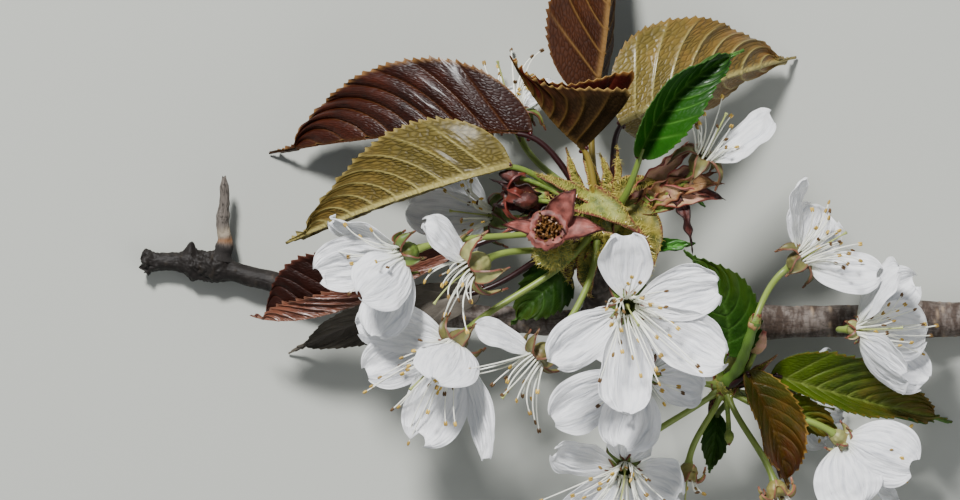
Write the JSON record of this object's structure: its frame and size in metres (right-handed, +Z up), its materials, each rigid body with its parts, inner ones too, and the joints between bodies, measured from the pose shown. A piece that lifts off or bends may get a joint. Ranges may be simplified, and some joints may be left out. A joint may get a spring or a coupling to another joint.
{
  "type": "cut flowering cherry branch",
  "caption": "Cut cherry branch with single white blossom and bronze young leaves on short spurs, lying on its underside.",
  "frame": {"origin": "middle of the underside of the whole branch as it lies, on the floor", "axes": "+X along the branch from its thin broken end to its thick cut end, +Z up, towards the side that the blossom faces"},
  "size_m": [0.1454, 0.1134, 0.0506],
  "materials": {
    "bark": "grey-brown bark with pale pores across it",
    "dead_wood": "weathered bare wood",
    "bud_scale": "downy bud scale, pale green to brown",
    "leaf_red": "glossy dark red-brown young leaf",
    "leaf_olive": "olive to gold young leaf with pale veins",
    "leaf_bronze": "bronze young leaf with pale veins",
    "leaf_green": "glossy green leaf",
    "petal": "soft white petal",
    "calyx": "pink-red to green calyx"
  },
  "bodies": {
    "root": {"main_branch": "bark", "dead_twig": "dead_wood", "central_spur": "bud_scale", "right_spur": "bud_scale", "leaf_dark_red_left": "leaf_red", "leaf_olive_left": "leaf_olive", "leaf_bronze_upright": "leaf_bronze", "leaf_brown_small": "leaf_bronze", "leaf_golden_upper_right": "leaf_olive", "leaf_green_folded": "leaf_green", "leaf_dark_red_behind": "leaf_red", "leaf_grey_below": "leaf_red", "leaf_green_lower_right": "leaf_green", "leaf_olive_hanging": "leaf_olive", "leaf_small_right": "leaf_green", "leaf_green_behind_main": "leaf_green", "leaf_green_shaded": "leaf_green", "leaf_dark_low": "leaf_green", "leaf_narrow_arching": "leaf_green", "leaf_blade_right": "leaf_green", "bloom_main": "petal", "bloom_left_cup": "petal", "bloom_left_small": "petal", "bloom_lower_left": "petal", "bloom_lower_middle": "petal", "bloom_behind_main": "petal", "bloom_bottom": "petal", "bloom_upper_right": "petal", "bloom_right_upper": "petal", "bloom_right_middle": "petal", "bloom_right_lower": "petal", "bloom_behind_left": "petal", "bloom_behind_top": "petal", "bloom_behind_right": "petal", "calyx_front": "calyx", "calyx_hanging": "calyx", "calyx_low_right": "calyx", "calyx_left": "calyx"}
  },
  "joints": []
}
